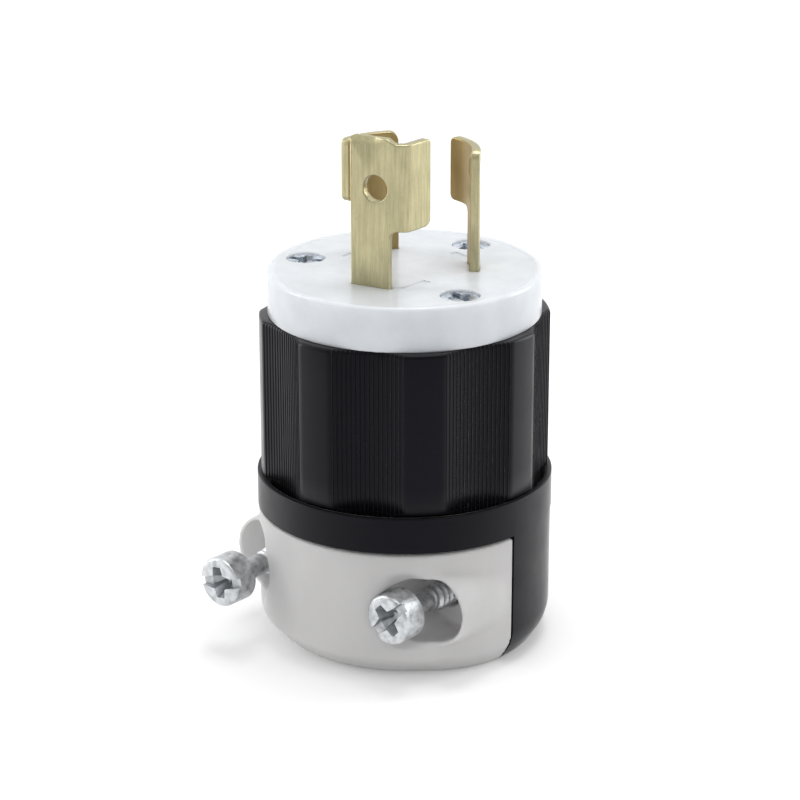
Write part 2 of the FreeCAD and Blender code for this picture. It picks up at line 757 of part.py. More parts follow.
make_face_plate()
make_terminal_block()
make_grip_shell()
make_rear_cover()
make_clamp_jaw()
make_clamp_screw("clamp_screw_left", -1, lug_front + left_reach)
make_clamp_screw("clamp_screw_right", 1, lug_front + right_reach)
make_blade("line_blade", line_start, line_end, line_hook, blade_top)
make_blade("neutral_blade", neutral_start, neutral_end, neutral_hook, blade_top)
make_blade("ground_blade", ground_start, ground_end, ground_hook, ground_top, tab=True)
for number, angle in enumerate(assembly_angles, 1):
    make_assembly_screw(f"assembly_screw_{number}", angle)
for name, angle in (("line", line_middle), ("neutral", neutral_middle), ("ground", ground_middle)):
    make_wire_clamp(f"{name}_wire_clamp", angle)
    make_terminal_screw(f"{name}_terminal_screw", angle)
doc.recompute()

os.makedirs("parts", exist_ok=True)
for item in doc.Objects:
    if "Invalid" in item.State or "Error" in item.State:
        raise RuntimeError(f"{item.Label} could not be computed")
for node in NODES:
    if not node.Shape.isValid() or len(node.Shape.Solids) != 1:
        raise RuntimeError(f"{node.Label} is not one valid solid")
    node.Shape.exportStep(f"parts/{node.Label}.step")
    print(f"{node.Label}: {node.Shape.Volume:.1f} mm3")
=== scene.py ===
import math

import bmesh
import bpy
import numpy as np
from bpy.props import FloatProperty, FloatVectorProperty, IntProperty, PointerProperty
from mathutils import Matrix, Vector, geometry


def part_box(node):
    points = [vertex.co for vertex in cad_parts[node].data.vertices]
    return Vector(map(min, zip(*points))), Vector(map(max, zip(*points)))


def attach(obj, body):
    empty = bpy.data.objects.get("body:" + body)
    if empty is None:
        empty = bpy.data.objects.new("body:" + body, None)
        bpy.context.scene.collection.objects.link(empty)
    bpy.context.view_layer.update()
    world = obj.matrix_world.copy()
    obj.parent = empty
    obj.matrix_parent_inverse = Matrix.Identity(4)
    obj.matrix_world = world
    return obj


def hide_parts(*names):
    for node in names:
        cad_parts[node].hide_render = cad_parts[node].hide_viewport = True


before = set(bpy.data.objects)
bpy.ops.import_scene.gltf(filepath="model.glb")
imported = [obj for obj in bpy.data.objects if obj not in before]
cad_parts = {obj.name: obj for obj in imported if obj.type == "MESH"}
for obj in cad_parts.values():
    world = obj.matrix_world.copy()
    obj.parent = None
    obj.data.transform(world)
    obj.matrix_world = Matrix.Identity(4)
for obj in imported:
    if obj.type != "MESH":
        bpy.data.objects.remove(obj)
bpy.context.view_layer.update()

bl_info = {
    "name": "Locking plug",
    "version": (1, 0, 0),
    "blender": (4, 5, 0),
    "location": "View3D > Sidebar > Locking plug",
    "description": "Builds the visible pieces of a locking power plug and its studio",
    "category": "Object",
}

METRE = 0.001

# Places that several pieces share, in millimetres and degrees
ASSEMBLY_ANGLES = (90.0, 201.0, 340.5)
ASSEMBLY_CIRCLE = 12.75
FACETS = 8
FACET_TURN = 25.4
SMOOTH_ANGLE = 15
JAW_FOOT = 14.6
COVER_FOOT = 15.9
CLAMP_TOP = 17.0
CHAMBER_LOW, CHAMBER_TOP = 12.4, 18.4

# Start of a blade's leg, end of its leg and end of its hook on the blade circle, in degrees
BLADES = {
    "line_blade": (28.5, 57.4, 86.0),
    "neutral_blade": (135.2, 165.0, 188.4),
    "ground_blade": (265.1, 298.0, 312.0),
}


def span(node):
    """Lowest and highest corner of a node, in millimetres."""
    low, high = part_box(node)
    return [v * 1000 for v in low], [v * 1000 for v in high]


def mm(metres):
    """A length of the panel in the millimetres that the pieces are drawn in."""
    return metres * 1000


def length(name, description, millimetres):
    """A size in the panel, which Blender keeps in metres."""
    return FloatProperty(name=name, description=description, default=millimetres * METRE,
                         precision=5, unit="LENGTH", subtype="DISTANCE")


def colour(name, description, value):
    return FloatVectorProperty(name=name, description=description, default=value,
                               subtype="COLOR", min=0.0, max=1.0, size=3)


def amount(name, description, value):
    return FloatProperty(name=name, description=description, default=value, min=0.0)


class PlugSizes(bpy.types.PropertyGroup):
    shell_radius: length("Shell radius", "Radius over the smooth facets", 17.67)
    shell_bore: length("Shell bore", "Radius of the bore of the grip shell", 14.9)
    hollow_radius: length("Hollow radius", "Radius of the hollow ribbed facets", 18.73)
    rib_height: length("Rib height", "Height of a rib", 0.09)
    rib_count: IntProperty(name="Ribs", description="Ribs on one facet", default=17, min=5)
    rim_radius: length("Rim radius", "Radius of the cup rim", 18.16)
    lip_top: length("Lip height", "Height of the cup lip above the base", 21.45)
    lip_thickness: length("Lip thickness", "Thickness of the cup lip", 0.7)
    clamp_radius: length("Clamp radius", "Radius of the clamp part", 18.04)
    cord_radius: length("Cord radius", "Radius of the cord passage", 5.2)
    chamber_radius: length("Chamber radius", "Radius of the cord chamber", 8.4)
    screw_offset: length("Screw offset", "Distance of a clamp screw from the middle", 11.5)
    screw_height: length("Screw height", "Height of the clamp screws", 9.5)
    face_border: length("Face border", "Width of the raised border of the face", 0.85)
    blade_radius: length("Blade radius", "Outer radius of the blade circle", 9.04)
    blade_thickness: length("Blade thickness", "Thickness of the blades", 1.14)
    thread_pitch: length("Thread pitch", "Pitch of the clamp screws", 0.93)


class PlugColours(bpy.types.PropertyGroup):
    face: colour("Face", "Translucent white nylon of the face plate", (0.68, 0.71, 0.745))
    jaw: colour("Jaw", "Natural nylon of the clamp jaw", (0.565, 0.558, 0.556))
    shell: colour("Shell", "Black nylon of the shell and the cover", (0.0025, 0.0025, 0.0031))
    brass: colour("Brass", "Pale rolled brass of the blades", (0.54, 0.495, 0.30))
    zinc: colour("Zinc", "Zinc plate of the screws", (0.66, 0.68, 0.70))
    blue_zinc: colour("Blue zinc", "Bluish zinc plate of the face screws", (0.70, 0.77, 0.86))
    clamp_steel: colour("Clamp steel", "Dull zinc plate of the wire clamps", (0.60, 0.61, 0.62))
    screw_brass: colour("Brass screw", "Turned brass", (0.78, 0.60, 0.25))
    screw_silver: colour("Silver screw", "Nickel plate", (0.80, 0.80, 0.80))
    screw_green: colour("Green screw", "Green finish of the ground screw", (0.05, 0.30, 0.11))


class PlugStudio(bpy.types.PropertyGroup):
    room: amount("Room light", "Light from the studio's walls", 0.64)
    front: amount("Front light", "Share of the room light on the camera's side", 1.32)
    mirrored: amount("Mirrored front", "What reflections see on the camera's side", 0.62)
    key: amount("Key light", "Power of the soft box above, in tens of watts", 0.26)
    side: amount("Side light", "Power of the strips at the sides, in tens of watts", 0.12)
    floor: colour("Floor", "Pale floor under the plug", (0.86, 0.86, 0.86))
    floor_lift: amount("Floor lift", "What the floor lacks to read as white", 0.19)


# Meshes

def new_object(name, data):
    made = bpy.data.objects.new(name, data)
    bpy.context.scene.collection.objects.link(made)
    return made


def mesh_piece(name, vertices, faces):
    """A new object from corners in millimetres."""
    mesh = bpy.data.meshes.new(name)
    mesh.from_pydata([Vector(v) * METRE for v in vertices], [], faces)
    mesh.validate()
    return new_object(name, mesh)


def tidy(piece, distance=0.002):
    """Merge double corners and turn all faces outward."""
    work = bmesh.new()
    work.from_mesh(piece.data)
    bmesh.ops.remove_doubles(work, verts=work.verts, dist=distance * METRE)
    bmesh.ops.dissolve_degenerate(work, dist=distance * METRE * 0.5, edges=work.edges)
    bmesh.ops.recalc_face_normals(work, faces=work.faces)
    work.to_mesh(piece.data)
    work.free()


def rings_piece(name, rings, closed=True):
    """A skin over rings of equal length. The last ring joins the first where closed."""
    count = len(rings[0])
    vertices = [p for ring in rings for p in ring]
    faces = []
    last = len(rings) if closed else len(rings) - 1
    for level in range(last):
        low = level * count
        high = ((level + 1) % len(rings)) * count
        for i in range(count):
            j = (i + 1) % count
            faces.append((low + i, low + j, high + j, high + i))
    if not closed:
        faces.append(tuple(range(count - 1, -1, -1)))
        faces.append(tuple(range(last * count, (last + 1) * count)))
    piece = mesh_piece(name, vertices, faces)
    tidy(piece)
    return piece


def circle(radius, height, count):
    """A ring of points round the plug's axis."""
    turns = [2 * math.pi * i / count for i in range(count)]
    return [(radius * math.cos(turn), radius * math.sin(turn), height) for turn in turns]


def lathe(name, profile, segments=256, closed=True):
    """A full turn of (radius, height) points round the plug's axis."""
    return rings_piece(name, [circle(radius, height, segments) for radius, height in profile], closed)


def prism(name, outline, low, high, axis="Z"):
    """A straight solid over an outline, between two distances along an axis."""
    count = len(outline)
    put = {"Z": lambda p, d: (p[0], p[1], d), "Y": lambda p, d: (p[0], d, p[1])}[axis]
    vertices = [put(p, d) for d in (low, high) for p in outline]
    faces = [(i, (i + 1) % count, count + (i + 1) % count, count + i) for i in range(count)]
    faces += [tuple(range(count - 1, -1, -1)), tuple(range(count, 2 * count))]
    piece = mesh_piece(name, vertices, faces)
    tidy(piece)
    return piece


def round_outline(x, y, radius, count=48):
    return [(x + across, y + up) for across, up, _ in circle(radius, 0.0, count)]


def polar(angle, distance):
    return distance * math.cos(math.radians(angle)), distance * math.sin(math.radians(angle))


def corner(centre, radius, start, end, steps=5):
    """Points of a rounded corner in a (radius, height) profile."""
    points = []
    for i in range(steps + 1):
        turn = math.radians(start + (end - start) * i / steps)
        points.append((centre[0] + radius * math.cos(turn), centre[1] + radius * math.sin(turn)))
    return points


def settle(piece):
    """Make the result of all modifiers the piece's own mesh."""
    graph = bpy.context.evaluated_depsgraph_get()
    mesh = bpy.data.meshes.new_from_object(piece.evaluated_get(graph))
    piece.modifiers.clear()
    old = piece.data
    piece.data = mesh
    bpy.data.meshes.remove(old)
    mesh.name = piece.name


def combine(piece, other, operation):
    """Join, cut or trim a piece with another, which is used up."""
    modifier = piece.modifiers.new("Combine", "BOOLEAN")
    modifier.operation = operation
    modifier.solver = "MANIFOLD"
    modifier.object = other
    settle(piece)
    bpy.data.objects.remove(other)
    if not piece.data.polygons:
        raise RuntimeError(f"{piece.name} lost its mesh")


def cut(piece, other):
    combine(piece, other, "DIFFERENCE")


def join(piece, other):
    """Put the mesh of another piece into this one."""
    work = bmesh.new()
    work.from_mesh(piece.data)
    work.from_mesh(other.data)
    work.to_mesh(piece.data)
    work.free()
    bpy.data.objects.remove(other)


def move(piece, x, y, z):
    """Shift a piece's mesh by millimetres."""
    piece.data.transform(Matrix.Translation(Vector((x, y, z)) * METRE))


def rotate(piece, degrees, axis):
    piece.data.transform(Matrix.Rotation(math.radians(degrees), 4, axis))


def remesh(piece, voxel):
    """One even skin with edges softened as moulding leaves them."""
    modifier = piece.modifiers.new("Skin", "REMESH")
    modifier.mode = "VOXEL"
    modifier.voxel_size = voxel * METRE
    soften = piece.modifiers.new("Soften", "SMOOTH")
    soften.iterations = 3
    soften.factor = 0.5
    settle(piece)


def shade(piece, angle=32.0, weighted=True):
    """Smooth shading that keeps edges sharper than the angle."""
    piece.data.shade_smooth()
    piece.data.set_sharp_from_angle(angle=math.radians(angle))
    if weighted:
        modifier = piece.modifiers.new("Even normals", "WEIGHTED_NORMAL")
        modifier.keep_sharp = True
        settle(piece)


def coat(piece, material):
    """One finish all over a piece."""
    piece.data.materials.clear()
    piece.data.materials.append(material)


def place(piece, body, slot, material, *nodes):
    """Give a piece its finish, its body and the nodes that it stands for."""
    coat(piece, material)
    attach(piece, body)
    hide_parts(*nodes)


# Materials

def new_material(name):
    material = bpy.data.materials.new(name)
    material.use_nodes = True
    tree = material.node_tree
    shader = tree.nodes["Principled BSDF"]
    return material, tree, shader


def set_sockets(made, **values):
    """Plain values on a node's own sockets."""
    for key, value in values.items():
        made.inputs[key.replace("_", " ")].default_value = value


def node(tree, kind, **values):
    made = tree.nodes.new(kind)
    set_sockets(made, **values)
    return made


def feed(tree, value, socket):
    """Link another node's output to a socket, or set a plain value on it."""
    if isinstance(value, bpy.types.NodeSocket):
        tree.links.new(value, socket)
    else:
        socket.default_value = value


def operation_node(tree, kind, operation, values, output=0):
    """A Math or Vector Math node over values or outputs."""
    made = tree.nodes.new(kind)
    made.operation = operation
    for value, socket in zip(values, made.inputs):
        feed(tree, value, socket)
    return made.outputs[output]


def math_node(tree, operation, *values):
    return operation_node(tree, "ShaderNodeMath", operation, values)


def vector_node(tree, operation, *values):
    output = "Value" if operation in ("LENGTH", "DOT_PRODUCT") else "Vector"
    return operation_node(tree, "ShaderNodeVectorMath", operation, values, output)


def mixed(tree, factor, first, second, kind="RGBA", blend="MIX"):
    """A mix of two colours or numbers, each a value or another node's output."""
    made = tree.nodes.new("ShaderNodeMix")
    made.data_type = kind
    made.blend_type = blend
    for value, socket in ((factor, "Factor"), (first, "A"), (second, "B")):
        feed(tree, value, made.inputs[socket])
    return made.outputs["Result"]


def own_place(tree, output="Object"):
    """Where a point lies in the piece's own coordinates."""
    return tree.nodes.new("ShaderNodeTexCoord").outputs[output]


def grain(tree, scale, stretch=(1.0, 1.0, 1.0), detail=3.0, roughness=0.55):
    """Noise over the piece's own coordinates. The scale is in marks per millimetre."""
    mapping = node(tree, "ShaderNodeMapping", Scale=[s * 1000 for s in stretch])
    tree.links.new(own_place(tree), mapping.inputs["Vector"])
    noise = node(tree, "ShaderNodeTexNoise", Scale=scale, Detail=detail, Roughness=roughness)
    tree.links.new(mapping.outputs["Vector"], noise.inputs["Vector"])
    return noise.outputs["Fac"]


def ramp(tree, source, stops):
    """Colours along a value. Each stop is (position, colour)."""
    made = tree.nodes.new("ShaderNodeValToRGB")
    band = made.color_ramp
    while len(band.elements) < len(stops):
        band.elements.new(0.5)
    for element, (position, value) in zip(band.elements, stops):
        element.position = position
        element.color = (*value, 1.0)
    tree.links.new(source, made.inputs["Fac"])
    return made.outputs["Color"]


def between(tree, source, low, high, start=0.3, end=0.7):
    """From low to high while the source goes from start to end."""
    made = node(tree, "ShaderNodeMapRange", From_Min=start, From_Max=end, To_Min=low, To_Max=high)
    tree.links.new(source, made.inputs["Value"])
    return made.outputs["Result"]


def bump(tree, shader, *layers):
    """Layers of (height, distance in millimetres) laid one over the other."""
    previous = None
    for height, distance in layers:
        made = node(tree, "ShaderNodeBump", Strength=1.0, Distance=distance * METRE)
        tree.links.new(height, made.inputs["Height"])
        if previous:
            tree.links.new(previous, made.inputs["Normal"])
        previous = made.outputs["Normal"]
    tree.links.new(previous, shader.inputs["Normal"])


def tinted(base, factor):
    return tuple(min(1.0, c * factor) for c in base)


def glow(shader, weight, depth):
    """Light that goes into the nylon and comes out again nearby."""
    set_sockets(shader, Subsurface_Weight=weight, Subsurface_Radius=(1.0, 1.0, 1.0), Subsurface_Scale=depth)


def translucent_nylon(name, base):
    """Milky nylon with a soft glow, faint clouding and a fine moulded grain."""
    material, tree, shader = new_material(name)
    clouds = grain(tree, 0.22, detail=4.0)
    fine = grain(tree, 9.0, detail=2.0)
    tree.links.new(ramp(tree, clouds, [(0.3, tinted(base, 0.93)), (0.7, tinted(base, 1.05))]),
                   shader.inputs["Base Color"])
    tree.links.new(between(tree, clouds, 0.17, 0.27), shader.inputs["Roughness"])
    set_sockets(shader, IOR=1.53)
    glow(shader, 0.6, 0.0022)
    bump(tree, shader, (clouds, 0.06), (fine, 0.004))
    return material


def recess_painted_light(tree):
    """Mask of painted light: one inside the screw recesses, zero on the outer wall. There a paler colour
    stands in for the light that thin walls let through.
    """
    at = own_place(tree)
    parts = tree.nodes.new("ShaderNodeSeparateXYZ")
    tree.links.new(at, parts.inputs["Vector"])
    from_axis = vector_node(tree, "LENGTH", vector_node(tree, "MULTIPLY", at, (1.0, 1.0, 0.0)))
    recess_wall, outer_wall = 0.0145, 0.0176
    inside = between(tree, from_axis, 1.0, 0.0, recess_wall, outer_wall)
    recess_low, recess_side = 0.0045, 0.0058
    above = between(tree, parts.outputs["Z"], 0.0, 1.0, recess_low, recess_side)
    return math_node(tree, "MULTIPLY", inside, above)


def painted_hollow_shade(tree, distance):
    """Painted shade: zero in narrow recesses, where ambient occlusion finds them, and one on open faces."""
    hollow = node(tree, "ShaderNodeAmbientOcclusion", Distance=distance * METRE)
    hollow.only_local = True
    hollow.samples = 8
    return between(tree, hollow.outputs["AO"], 0.0, 1.0, 0.25, 0.85)


def natural_nylon(name, base):
    """Grey-white nylon, satin, with slow shading marks from the mould and painted light in the screw
    recesses.
    """
    material, tree, shader = new_material(name)
    clouds = grain(tree, 0.12, stretch=(1.0, 1.0, 0.6), detail=5.0)
    fine = grain(tree, 6.0, detail=3.0)
    clouded = ramp(tree, clouds, [(0.3, tinted(base, 0.95)), (0.7, tinted(base, 1.04))])
    # Painted light: a paler colour inside the screw recesses
    painted_light_colour = (*tinted(base, 1.55), 1.0)
    tree.links.new(mixed(tree, recess_painted_light(tree), clouded, painted_light_colour), shader.inputs["Base Color"])
    tree.links.new(between(tree, fine, 0.40, 0.52), shader.inputs["Roughness"])
    set_sockets(shader, IOR=1.5)
    glow(shader, 0.7, 0.003)
    bump(tree, shader, (clouds, 0.10), (fine, 0.006))
    return material


def black_nylon(name, base, gloss):
    """Black moulded nylon with a fine skin, faint dust and rubbed places."""
    material, tree, shader = new_material(name)
    rub = grain(tree, 0.16, detail=5.0)
    fine = grain(tree, 7.0, detail=3.0)
    dust = grain(tree, 1.3, detail=6.0, roughness=0.7)
    tree.links.new(ramp(tree, dust, [(0.55, base), (0.80, tinted(base, 2.2))]), shader.inputs["Base Color"])
    tree.links.new(between(tree, rub, gloss, gloss + 0.14), shader.inputs["Roughness"])
    set_sockets(shader, IOR=2.0, Specular_Tint=(0.075, 0.075, 0.095, 1.0))
    set_sockets(shader, Sheen_Weight=0.62, Sheen_Roughness=0.20)
    bump(tree, shader, (rub, 0.05), (fine, 0.004))
    return material


def inner_reflection_mask(tree):
    """Mask of a painted reflection: one on faces that look towards the plug's axis, zero on the outer ones.
    """
    flat = vector_node(tree, "MULTIPLY", own_place(tree), (1.0, 1.0, 0.0))
    outwards = vector_node(tree, "NORMALIZE", flat)
    facing = vector_node(tree, "DOT_PRODUCT", outwards, own_place(tree, "Normal"))
    return between(tree, facing, 1.0, 0.0, -0.7, -0.2)


def rolled_brass(name, base):
    """Pale brass with rolling lines, dark specks and a soft tarnish, browner on the inner sides as painted
    reflection and shade from the facing brass.
    """
    material, tree, shader = new_material(name)
    lines = grain(tree, 2.2, stretch=(2.4, 2.4, 0.12), detail=3.0)
    tarnish = grain(tree, 0.34, stretch=(1.0, 1.0, 0.7), detail=5.0)
    brushed = grain(tree, 1.2, stretch=(3.0, 3.0, 0.16), detail=4.0, roughness=0.7)
    specks = grain(tree, 5.0, detail=3.0, roughness=0.5)
    worn = ramp(tree, tarnish, [(0.30, tinted(base, 0.84)), (0.66, tinted(base, 1.04))])
    dark = ramp(tree, specks, [(0.26, (0.45, 0.42, 0.38)), (0.36, (1.0, 1.0, 1.0))])
    streaks = ramp(tree, brushed, [(0.38, (0.80, 0.80, 0.79)), (0.60, (1.0, 1.0, 1.0))])
    speckled = mixed(tree, 0.45, worn, dark, blend="MULTIPLY")
    streaked = mixed(tree, 1.0, speckled, streaks, blend="MULTIPLY")
    # Painted reflection and shade: a browner colour on faces that look towards the axis
    reflected_brown = (0.36, 0.27, 0.12, 1.0)
    tree.links.new(mixed(tree, inner_reflection_mask(tree), streaked, reflected_brown), shader.inputs["Base Color"])
    set_sockets(shader, Metallic=1.0)
    tree.links.new(between(tree, lines, 0.30, 0.44), shader.inputs["Roughness"])
    bump(tree, shader, (lines, 0.012), (specks, 0.010))
    return material


def plated(name, base, roughness=0.20, pits=0.02, tint=0.86):
    """Bright plate with small pits, uneven gloss and painted shade in its recesses."""
    material, tree, shader = new_material(name)
    cloud = grain(tree, 1.1, detail=5.0)
    pitted = grain(tree, 2.4, detail=4.0, roughness=0.65)
    # Painted shade: a darker colour in narrow recesses, such as the cross and the thread
    hollow_shade_colour = (*tinted(base, 0.34), 1.0)
    clouded = ramp(tree, cloud, [(0.35, tinted(base, tint)), (0.6, base)])
    tree.links.new(mixed(tree, painted_hollow_shade(tree, 1.6), hollow_shade_colour, clouded), shader.inputs["Base Color"])
    set_sockets(shader, Metallic=1.0)
    tree.links.new(between(tree, cloud, roughness, roughness + 0.16), shader.inputs["Roughness"])
    bump(tree, shader, (pitted, pits))
    return material


# Pieces

def build_face_plate(sizes, material):
    """White disc with a raised border, blade slots and screw recesses."""
    (_, _, bottom), (radius, _, top) = span("face_plate")
    step = radius - mm(sizes.face_border)
    edge, groove = 0.42, 0.12
    profile = [(0.0, bottom), (radius - 0.12, bottom), (radius, bottom + 0.12)]
    profile += corner((radius - edge, top - edge), edge, 0, 90, 7)
    profile += [(step + 0.16, top), (step + 0.05, top - 0.02), (step - 0.06, top - 0.10),
                (step - 0.18, top - groove), (0.0, top - groove)]
    plate = lathe("face_plate_fine", profile, 320, closed=False)
    for name in BLADES:
        cut_blade_slot(plate, sizes, name, top)
    recess_radius, recess_floor, mouth = 2.38, top - 2.24, top + 0.5
    recess = [(0.0, recess_floor), (recess_radius, recess_floor), (recess_radius, top - 0.22),
              (recess_radius + 0.08, top - groove), (2.7, mouth), (0.0, mouth)]
    hole_radius = 1.57
    for angle in ASSEMBLY_ANGLES:
        x, y = polar(angle, ASSEMBLY_CIRCLE)
        cutter = lathe("recess", recess, 64, closed=False)
        move(cutter, x, y, 0)
        cut(plate, cutter)
        cut(plate, prism("hole", round_outline(x, y, hole_radius), bottom - 1, top + 1))
    shade(plate)
    place(plate, "plug", "white_nylon", material, "face_plate")


def cut_blade_slot(plate, sizes, name, top):
    """Slot of a blade's leg, and the shallow outline that goes on to the end of its hook."""
    gap, shallow = 0.06, 0.26
    line = blade_line(sizes, name)
    start, end, reach = line.marks
    for first, last, depth in ((start - gap, end + gap, 20.0), (end, reach + 0.1, shallow)):
        along = np.linspace(first, last, 24)
        outside = line.points(along, gap)
        inside = line.points(along, -mm(sizes.blade_thickness) - gap)
        band = [tuple(p) for p in (*outside, *inside[::-1])]
        cut(plate, prism("slot", band, top - depth, top + 1))


def shell_outline(sizes):
    """Outer line of the grip shell: smooth facets and hollow ribbed facets in turn."""
    radius, hollow = mm(sizes.shell_radius), mm(sizes.hollow_radius)
    half = math.radians((360 / FACETS - SMOOTH_ANGLE) / 2)
    half_width = radius * math.sin(half)
    middle = radius * math.cos(half) + math.sqrt(hollow ** 2 - half_width ** 2)
    reach = math.asin(half_width / hollow)
    pitch = 2 * reach / sizes.rib_count
    # One rib and its groove, as shares of the pitch and of the rib's height
    section = ((0.0, 0.0), (0.35, 0.0), (0.40, 0.55), (0.46, 0.95), (0.54, 0.95), (0.60, 0.55), (0.65, 0.0))
    facet_line = []
    for rib in range(sizes.rib_count):
        for part, height in section:
            angle = -reach + (rib + part) * pitch
            distance = hollow - height * mm(sizes.rib_height)
            facet_line.append((middle - distance * math.cos(angle), distance * math.sin(angle)))
    facet_line.append((middle - hollow * math.cos(reach), half_width))
    smooth_steps = 8
    points = []
    for facet in range(FACETS):
        turned = math.radians(FACET_TURN + 360 / FACETS * facet)
        across, along = math.cos(turned), math.sin(turned)
        points += [(x * across - y * along, x * along + y * across) for x, y in facet_line]
        for i in range(1, smooth_steps):
            angle = turned + half + math.radians(SMOOTH_ANGLE) * i / smooth_steps
            points.append((radius * math.cos(angle), radius * math.sin(angle)))
    return points


def build_grip_shell(sizes, material):
    """Faceted tube whose foot stands inside the lip of the rear cover."""
    (_, _, bottom), (_, _, top) = span("grip_shell")
    lip, gap = mm(sizes.lip_top), 0.25
    foot = mm(sizes.rim_radius - sizes.lip_thickness) - gap
    bore = mm(sizes.shell_bore)
    outline = shell_outline(sizes)

    def ring(height, limit=math.inf, inset=0.0):
        points = []
        for x, y in outline:
            distance = math.hypot(x, y)
            wanted = min(distance, limit) - inset
            points.append((x * wanted / distance, y * wanted / distance, height))
        return points

    def bore_ring(height, radius=bore):
        return [(x * radius / math.hypot(x, y), y * radius / math.hypot(x, y), height) for x, y in outline]

    start = lip + 0.33
    rings = [ring(bottom, foot), ring(lip + gap, foot), ring(lip + gap, inset=0.06), ring(start)]
    rings += [ring(start + (top - 0.5 - start) * i / 6) for i in range(1, 7)]
    rings += [ring(top - 0.28, inset=0.03), ring(top - 0.10, inset=0.14), ring(top - 0.02, inset=0.30),
              ring(top, inset=0.46)]
    rings += [bore_ring(top, bore + 0.15), bore_ring(top - 0.15), bore_ring(bottom)]
    shell = rings_piece("grip_shell_fine", rings)
    shade(shell, 40.0, weighted=False)
    place(shell, "plug", "black_nylon", material, "grip_shell")


def clamp_profile(radius, foot, top):
    """Outer side of the clamp part: rounded base edge, taper and straight wall."""
    points = [(foot - 0.9, 0.0), (foot - 0.35, 0.06), (foot + 0.05, 0.30)]
    rise = radius - foot
    points += [(foot + rise * t, 3.3 * t ** 1.12) for t in (0.25, 0.45, 0.65, 0.8)]
    points += [(radius - 0.28, 3.05), (radius - 0.10, 3.65), (radius, 4.5), (radius, top)]
    return points


def ridge(cord):
    """Gripping ridge across the cord passage, from below."""
    crest = cord - 0.8
    return [(cord, 5.5), (crest + 0.1, 5.55), (crest, 5.7), (crest, 6.7), (crest + 0.1, 6.85), (cord, 6.9)]


def build_rear_cover(sizes, material):
    """Black cup with the fixed half of the cord clamp and three screw bosses."""
    rim, top = mm(sizes.rim_radius), mm(sizes.lip_top)
    inner = rim - mm(sizes.lip_thickness)
    clamp, cord, chamber = mm(sizes.clamp_radius), mm(sizes.cord_radius), mm(sizes.chamber_radius)
    profile = [(cord + 0.3, 0.0)] + clamp_profile(clamp, COVER_FOOT, CLAMP_TOP - 0.1)
    profile += [(clamp + 0.02, CLAMP_TOP), (rim, CLAMP_TOP + 0.05)]
    profile += corner((rim - 0.16, top - 0.16), 0.16, 0, 90, 4)
    profile += corner((inner + 0.12, top - 0.12), 0.12, 90, 180, 3)
    profile += [(inner, CHAMBER_TOP), (chamber, CHAMBER_TOP), (chamber, CHAMBER_LOW), (cord, CHAMBER_LOW)]
    profile += ridge(cord)[::-1] + [(cord, 0.3)]
    cover = lathe("rear_cover_fine", profile, 256)
    split, far = -1.0, 40
    cut(cover, prism("front", [(-far, -far), (far, -far), (far, split), (-far, split)], -5, CLAMP_TOP))
    combine(cover, cover_bosses(), "UNION")
    screw_hole, clamp_hole, clamp_depth = 1.5, 1.7, 11.2
    for angle in ASSEMBLY_ANGLES:
        outline = round_outline(*polar(angle, ASSEMBLY_CIRCLE), screw_hole)
        cut(cover, prism("hole", outline, CHAMBER_TOP, 27.0))
    for side in (-1, 1):
        outline = round_outline(side * mm(sizes.screw_offset), mm(sizes.screw_height), clamp_hole)
        cut(cover, prism("hole", outline, -1.5, clamp_depth, "Y"))
    tidy(cover)
    shade(cover)
    place(cover, "plug", "black_nylon", material, "rear_cover")


def cover_bosses():
    """The three screw bosses, trimmed to the bore of the grip shell."""
    boss_radius, boss_low, boss_top, shell_room = 2.4, 17.5, 26.3, 14.7
    outlines = [round_outline(*polar(angle, ASSEMBLY_CIRCLE), boss_radius) for angle in ASSEMBLY_ANGLES]
    bosses, *others = [prism("boss", outline, boss_low, boss_top) for outline in outlines]
    for boss in others:
        combine(bosses, boss, "UNION")
    room = prism("room", round_outline(0, 0, shell_room, 128), boss_low + 0.1, boss_top + 0.7)
    combine(bosses, room, "INTERSECT")
    return bosses


def soft_larger(first, second, blend):
    """The larger of two values, with a soft turn from one to the other."""
    gap = np.maximum(blend - np.abs(first - second), 0.0) / blend
    return np.maximum(first, second) + gap * gap * blend * 0.25


def scoop_depth(x, z, offset):
    """How far the wall dips towards a screw recess on its inner side."""
    distance = np.hypot(np.minimum(x - offset, 0.0), z)
    near = np.clip((5.3 - distance) / 1.7, 0.0, 1.0)
    beside = np.clip(1 - np.abs(x - offset - 0.1) / 2.4, 0.0, 1.0)
    return soft_step(near) * soft_step(beside)


def soft_step(value):
    """A soft turn from zero to one."""
    return value * value * (3 - 2 * value)


